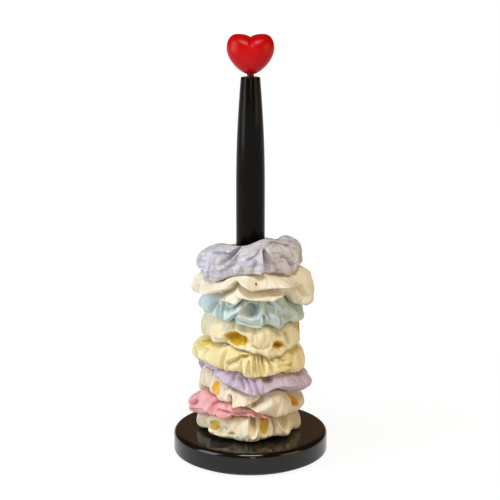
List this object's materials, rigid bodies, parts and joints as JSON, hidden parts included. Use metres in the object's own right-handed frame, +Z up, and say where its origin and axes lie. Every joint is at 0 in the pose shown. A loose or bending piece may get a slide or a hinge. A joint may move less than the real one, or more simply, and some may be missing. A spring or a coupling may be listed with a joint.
{
  "type": "scrunchie and headband holder",
  "caption": "Round weighted base with a tapered post and a puffy heart finial, carrying a stack of gathered fabric hair scrunchies that lift off over the top.",
  "frame": {"origin": "centre of the underside of the base pad, on the surface that the holder stands on", "axes": "+Z up along the post, the heart's face looks along -Y, +X to the right seen from the front"},
  "size_m": [0.13, 0.13, 0.3519],
  "materials": {
    "black_lacquer": "satin black lacquer on turned wood",
    "red_lacquer": "red lacquer on carved wood",
    "stained_dowel": "dark red stain",
    "rubber": "matte non-slip pad",
    "steel": "zinc plated",
    "elastic": "covered elastic",
    "custard_fabric": "printed crinkled cotton",
    "rose_fabric": "crinkled satin cotton",
    "peach_fabric": "printed crinkled cotton",
    "lavender_fabric": "crinkled cotton",
    "butter_fabric": "crinkled cotton",
    "cream_fabric": "printed crinkled cotton",
    "blue_fabric": "crinkled cotton",
    "ivory_fabric": "dotted crinkled cotton",
    "lilac_fabric": "line printed crinkled cotton"
  },
  "bodies": {
    "holder": {"base_pad": "rubber", "base_disc": "black_lacquer", "post": "black_lacquer", "post_screw": "steel", "screw_washer": "steel", "finial_pin": "stained_dowel", "heart_finial": "red_lacquer"},
    "custard": {"custard_scrunchie": "custard_fabric", "custard_elastic": "elastic"},
    "rose": {"rose_scrunchie": "rose_fabric", "rose_elastic": "elastic"},
    "peach": {"peach_scrunchie": "peach_fabric", "peach_elastic": "elastic"},
    "lavender": {"lavender_scrunchie": "lavender_fabric", "lavender_elastic": "elastic"},
    "butter": {"butter_scrunchie": "butter_fabric", "butter_elastic": "elastic"},
    "cream": {"cream_scrunchie": "cream_fabric", "cream_elastic": "elastic"},
    "blue": {"blue_scrunchie": "blue_fabric", "blue_elastic": "elastic"},
    "ivory": {"ivory_scrunchie": "ivory_fabric", "ivory_elastic": "elastic"},
    "lilac": {"lilac_scrunchie": "lilac_fabric", "lilac_elastic": "elastic"}
  },
  "joints": [
    {"name": "custard_lift", "type": "slide", "parent": "holder", "child": "custard", "axis": [0, 0, 1], "range_m": [0, 0.336]},
    {"name": "rose_lift", "type": "slide", "parent": "custard", "child": "rose", "axis": [0, 0, 1], "range_m": [0, 0.32]},
    {"name": "peach_lift", "type": "slide", "parent": "rose", "child": "peach", "axis": [0, 0, 1], "range_m": [0, 0.313]},
    {"name": "lavender_lift", "type": "slide", "parent": "peach", "child": "lavender", "axis": [0, 0, 1], "range_m": [0, 0.298]},
    {"name": "butter_lift", "type": "slide", "parent": "lavender", "child": "butter", "axis": [0, 0, 1], "range_m": [0, 0.281]},
    {"name": "cream_lift", "type": "slide", "parent": "butter", "child": "cream", "axis": [0, 0, 1], "range_m": [0, 0.26]},
    {"name": "blue_lift", "type": "slide", "parent": "cream", "child": "blue", "axis": [0, 0, 1], "range_m": [0, 0.24]},
    {"name": "ivory_lift", "type": "slide", "parent": "blue", "child": "ivory", "axis": [0, 0, 1], "range_m": [0, 0.218]},
    {"name": "lilac_lift", "type": "slide", "parent": "ivory", "child": "lilac", "axis": [0, 0, 1], "range_m": [0, 0.2]}
  ]
}
